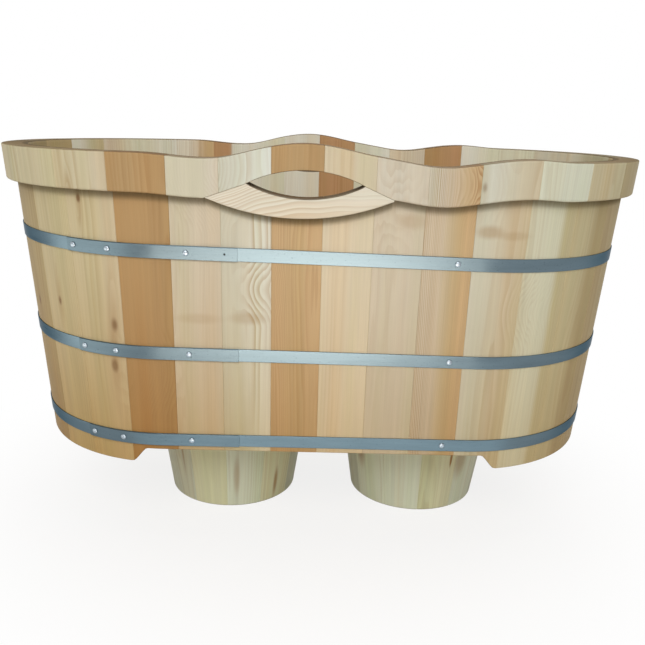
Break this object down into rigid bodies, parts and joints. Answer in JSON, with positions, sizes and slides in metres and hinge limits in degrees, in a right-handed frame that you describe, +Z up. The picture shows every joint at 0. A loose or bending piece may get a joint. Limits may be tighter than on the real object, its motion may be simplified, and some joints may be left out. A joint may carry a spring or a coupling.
{
  "type": "cold plunge tub",
  "caption": "Oval cold plunge tub of leaning wooden staves in flat steel hoops, with a waved rim, eye-shaped hand openings, a plank floor with a lift stopper, and round stave-built pedestals.",
  "frame": {"origin": "on the floor, under the middle of the rim's length and width", "axes": "+X along the tub to the picture's right, +Y from the pictured front to the back, +Z up"},
  "size_m": [1.2, 0.671, 0.73],
  "materials": {
    "stave_wood": "smooth planed softwood, clear and unpainted, tone changing from stave to stave",
    "lip_wood": "smooth planed pale softwood",
    "floor_wood": "planed softwood boards",
    "batten_wood": "sawn softwood",
    "pedestal_wood": "planed softwood, weathered to a greyish beige",
    "hoop_steel": "satin steel strip, bare",
    "nail_steel": "domed heads, bare steel",
    "screw_steel": "bare stainless steel",
    "drain_steel": "satin stainless steel",
    "stopper_steel": "polished stainless steel",
    "gasket_rubber": "matte black rubber"
  },
  "bodies": {
    "tub": {"stave_01": "stave_wood", "stave_02": "stave_wood", "stave_03": "stave_wood", "stave_04": "stave_wood", "stave_05": "stave_wood", "stave_06": "stave_wood", "stave_07": "stave_wood", "stave_08": "stave_wood", "stave_09": "stave_wood", "stave_10": "stave_wood", "stave_11": "stave_wood", "stave_12": "stave_wood", "stave_13": "stave_wood", "stave_14": "stave_wood", "stave_15": "stave_wood", "stave_16": "stave_wood", "stave_17": "stave_wood", "stave_18": "stave_wood", "stave_19": "stave_wood", "stave_20": "stave_wood", "stave_21": "stave_wood", "stave_22": "stave_wood", "stave_23": "stave_wood", "stave_24": "stave_wood", "stave_25": "stave_wood", "stave_26": "stave_wood", "stave_27": "stave_wood", "stave_28": "stave_wood", "stave_29": "stave_wood", "stave_30": "stave_wood", "stave_31": "stave_wood", "stave_32": "stave_wood", "stave_33": "stave_wood", "stave_34": "stave_wood", "bottom_hoop": "hoop_steel", "middle_hoop": "hoop_steel", "top_hoop": "hoop_steel", "hoop_nails": "nail_steel", "front_handle_lip": "lip_wood", "back_handle_lip": "lip_wood", "floor_board_1": "floor_wood", "floor_board_2": "floor_wood", "floor_board_3": "floor_wood", "floor_board_4": "floor_wood", "floor_board_5": "floor_wood", "left_batten": "batten_wood", "right_batten": "batten_wood", "batten_screws": "screw_steel", "left_pedestal_staves": "pedestal_wood", "left_pedestal_top": "pedestal_wood", "right_pedestal_staves": "pedestal_wood", "right_pedestal_top": "pedestal_wood", "drain_body": "drain_steel", "drain_gasket": "gasket_rubber", "drain_washer": "gasket_rubber", "drain_nut": "drain_steel"},
    "stopper": {"stopper": "stopper_steel", "stopper_clip": "stopper_steel", "stopper_seal": "gasket_rubber"}
  },
  "joints": [
    {"name": "stopper_lift", "type": "slide", "parent": "tub", "child": "stopper", "axis": [0, 0, 1], "range_m": [0, 0.012]}
  ]
}
